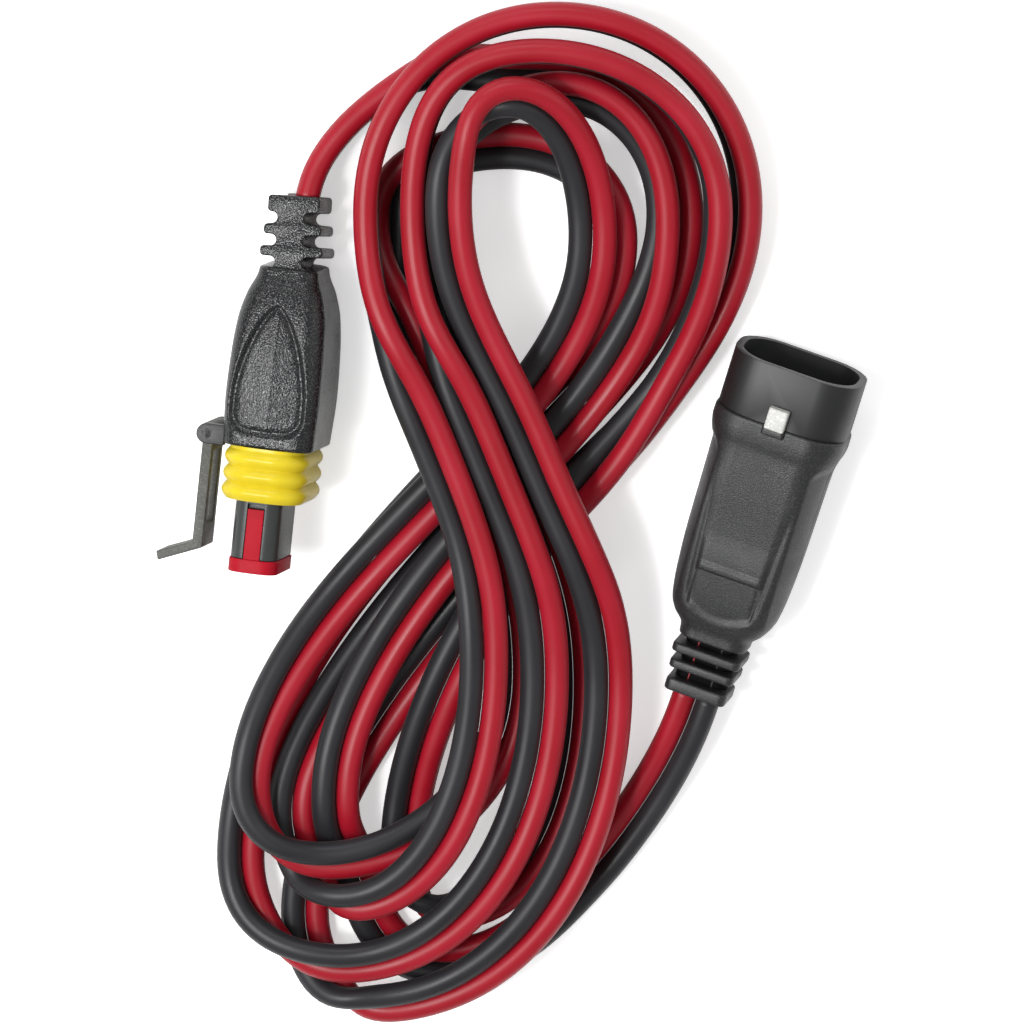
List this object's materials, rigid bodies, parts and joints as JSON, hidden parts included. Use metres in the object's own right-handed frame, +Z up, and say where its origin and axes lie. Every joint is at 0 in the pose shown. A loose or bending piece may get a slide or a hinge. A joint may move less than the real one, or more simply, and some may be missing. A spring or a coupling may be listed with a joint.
{
  "type": "battery charger extension lead",
  "caption": "Two metres of red and black twin cord, wound in figures of eight, with a sealed two-pole plug and a matching socket.",
  "frame": {"origin": "on the floor under the middle of the two connectors' box, the cord left out", "axes": "+Z up, +X from the plug towards the socket, +Y from the plug's nose towards its cord end; the lead lies flat"},
  "size_m": [0.111, 0.1658, 0.022],
  "materials": {
    "moulded_black": "fine spark-eroded texture, satin",
    "housing_grey": "satin glass-filled nylon",
    "latch_grey": "satin",
    "seal_yellow": "soft sheen silicone",
    "lock_red": "satin gloss",
    "core_red": "soft glossy PVC",
    "core_black": "soft glossy PVC",
    "copper": "bare stranded copper",
    "tinned": "tin plate",
    "catch_grey": "pale satin plastic",
    "steel": "satin"
  },
  "bodies": {
    "lead": {"plug_overmould": "moulded_black", "plug_housing": "housing_grey", "plug_seal": "seal_yellow", "plug_latch_pin": "steel", "plug_receptacle_red": "tinned", "plug_receptacle_black": "tinned", "plug_wire_seal_red": "seal_yellow", "plug_wire_seal_black": "seal_yellow", "plug_strands_red": "copper", "plug_strands_black": "copper", "plug_core_red": "core_red", "plug_core_black": "core_black", "socket_overmould": "moulded_black", "socket_housing": "housing_grey", "socket_catch": "catch_grey", "socket_lock_plate": "lock_red", "socket_pin_red": "tinned", "socket_pin_black": "tinned", "socket_wire_seal_red": "seal_yellow", "socket_wire_seal_black": "seal_yellow", "socket_strands_red": "copper", "socket_strands_black": "copper", "socket_core_red": "core_red", "socket_core_black": "core_black", "plug_tail_red": "core_red", "plug_tail_black": "core_black", "hank_red": "core_red", "hank_black": "core_black", "socket_tail_red": "core_red", "socket_tail_black": "core_black"},
    "latch": {"plug_latch": "latch_grey"},
    "lock_plate": {"plug_lock_plate": "lock_red"}
  },
  "joints": [
    {"name": "latch_hinge", "type": "hinge", "parent": "lead", "child": "latch", "pos_m": [-0.04639, 0.00337, 0.0096], "axis": [0.1943, -0.1403, -0.9709], "range_deg": [0, 12], "stiffness_Nm_per_rad": 0.02},
    {"name": "lock_slide", "type": "slide", "parent": "lead", "child": "lock_plate", "axis": [-0.1037, -0.9871, 0.1219], "range_m": [0, 0.002]}
  ]
}
